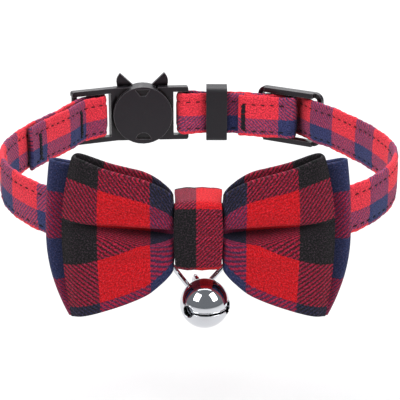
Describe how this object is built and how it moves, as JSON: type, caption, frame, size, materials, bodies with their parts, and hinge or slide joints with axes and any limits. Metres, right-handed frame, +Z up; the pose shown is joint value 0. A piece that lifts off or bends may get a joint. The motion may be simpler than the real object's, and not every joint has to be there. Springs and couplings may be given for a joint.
{
  "type": "pet bow tie collar",
  "caption": "Tartan cloth pet collar worn as a loop, with a double bow tie, knot band, D ring and bell, round side buckle with ears, slider and keeper.",
  "frame": {"origin": "middle of the neck opening, at half the strap's width", "axes": "+Z up along the neck, -Y to the bow's face, +X to the right seen from the bow"},
  "size_m": [0.0836, 0.0934, 0.0324],
  "materials": {
    "tartan_strap": "brushed woven tartan",
    "tartan_bow": "brushed woven tartan",
    "black_plastic": "satin",
    "black_rubber": "matte",
    "chrome": "polished",
    "steel_ball": "satin"
  },
  "bodies": {
    "root": {"strap": "tartan_strap", "bow_back": "tartan_bow", "bow_front": "tartan_bow", "knot_band": "tartan_bow", "buckle_housing": "black_plastic", "buckle_tongue": "black_plastic", "slider": "black_plastic", "keeper": "black_rubber", "d_ring": "chrome", "bell_shell": "chrome", "bell_pellet": "steel_ball"}
  },
  "joints": []
}
